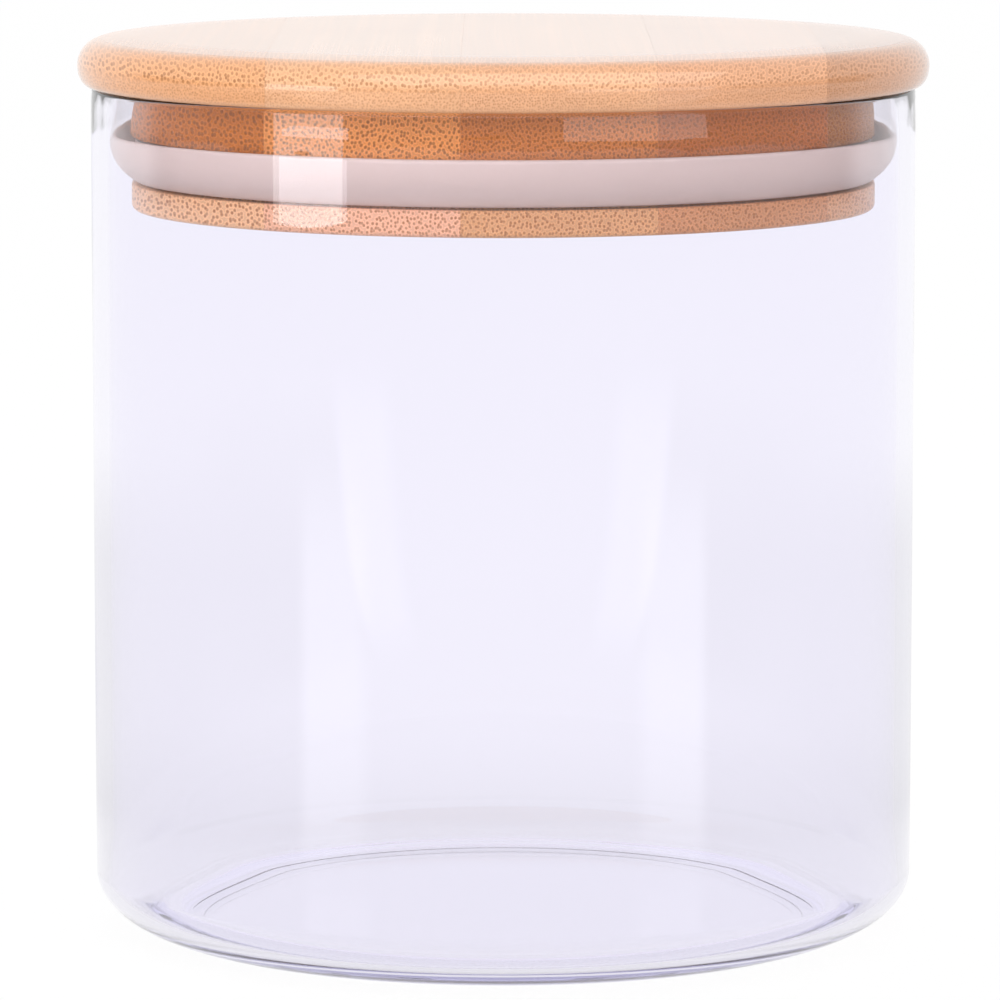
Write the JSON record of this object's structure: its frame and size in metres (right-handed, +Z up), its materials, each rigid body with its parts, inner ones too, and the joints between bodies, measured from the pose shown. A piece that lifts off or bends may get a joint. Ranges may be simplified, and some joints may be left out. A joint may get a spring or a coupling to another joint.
{
  "type": "lidded glass canister",
  "caption": "Straight-walled clear glass storage canister with a press-in laminated bamboo lid, sealed by a silicone lip ring round the lid's plug.",
  "frame": {"origin": "centre of the jar's foot, on the surface that it stands on", "axes": "+Z up along the jar's axis, -Y towards the viewer; the lid's staves run along Y and lie side by side along X"},
  "size_m": [0.1032, 0.1032, 0.109],
  "materials": {
    "clear_glass": "clear, fire-polished",
    "seal_silicone": "milky translucent, satin",
    "bamboo_stave_1": "clear lacquer, satin",
    "bamboo_stave_2": "clear lacquer, satin",
    "bamboo_stave_3": "clear lacquer, satin",
    "bamboo_stave_4": "clear lacquer, satin",
    "bamboo_stave_5": "clear lacquer, satin"
  },
  "bodies": {
    "jar": {"glass_jar": "clear_glass"},
    "seal": {"seal_ring": "seal_silicone"},
    "lid": {"cap_stave_1": "bamboo_stave_1", "cap_stave_2": "bamboo_stave_2", "cap_stave_3": "bamboo_stave_3", "cap_stave_4": "bamboo_stave_4", "cap_stave_5": "bamboo_stave_5", "neck_stave_1": "bamboo_stave_1", "neck_stave_2": "bamboo_stave_2", "neck_stave_3": "bamboo_stave_3", "neck_stave_4": "bamboo_stave_4", "neck_stave_5": "bamboo_stave_5", "flange_stave_1": "bamboo_stave_1", "flange_stave_2": "bamboo_stave_2", "flange_stave_3": "bamboo_stave_3", "flange_stave_4": "bamboo_stave_4", "flange_stave_5": "bamboo_stave_5"}
  },
  "joints": [
    {"name": "lid_lift", "type": "slide", "parent": "jar", "child": "seal", "axis": [0, 0, 1], "range_m": [0, 0.06]},
    {"name": "lid_turn", "type": "hinge", "parent": "seal", "child": "lid", "pos_m": [0, 0, 0.09575], "axis": [0, 0, 1], "continuous": true}
  ]
}
